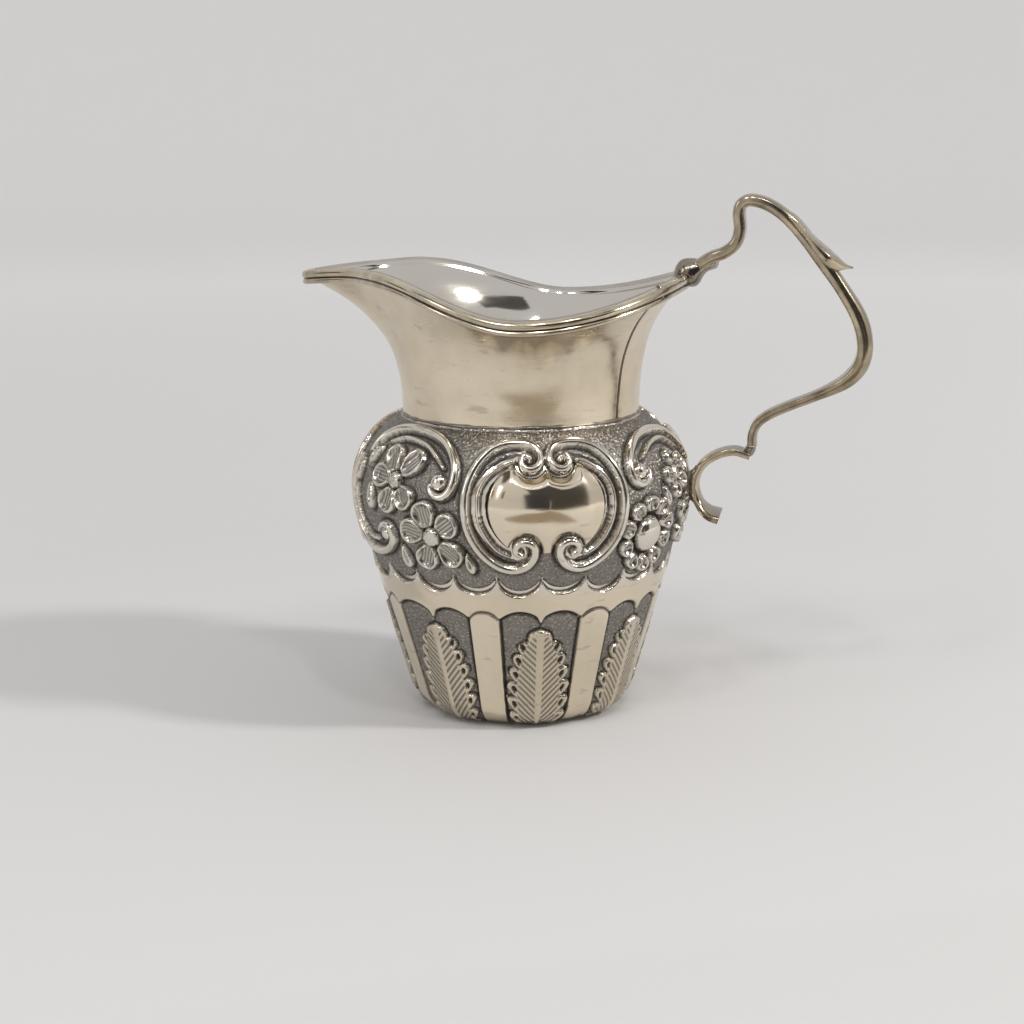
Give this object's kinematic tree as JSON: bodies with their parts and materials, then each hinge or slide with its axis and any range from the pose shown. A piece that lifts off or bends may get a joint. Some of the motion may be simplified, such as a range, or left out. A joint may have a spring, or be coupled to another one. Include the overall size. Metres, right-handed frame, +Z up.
{
  "type": "cream jug",
  "caption": "Small chased silver cream jug with a round floral bulb, a plain flared collar with a wavy lipped rim, and a bent scroll handle.",
  "frame": {"origin": "centre of the resting face under the bulb, on the bulb's axis", "axes": "+Z up along the bulb's axis, +X toward the handle, spout toward -X"},
  "size_m": [0.0943, 0.0572, 0.0861],
  "materials": {
    "chased_silver": "chased and matted silver, tarnish left in the recesses, high points polished",
    "plain_silver": "polished silver with a warm tone and fine handling scratches",
    "wire_silver": "polished silver, worn yellowish edges and grey flats",
    "solder": "dull grey silver solder"
  },
  "bodies": {
    "root": {"body_shell": "chased_silver", "base_disc": "plain_silver", "base_solder": "solder", "neck_collar": "plain_silver", "seam_solder": "solder", "neck_solder": "solder", "rim_wire": "wire_silver", "rim_knuckle": "wire_silver", "handle_strap": "wire_silver", "thumb_leaf": "wire_silver", "lower_scroll": "wire_silver", "notch_solder": "solder", "body_pad": "solder"}
  },
  "joints": []
}
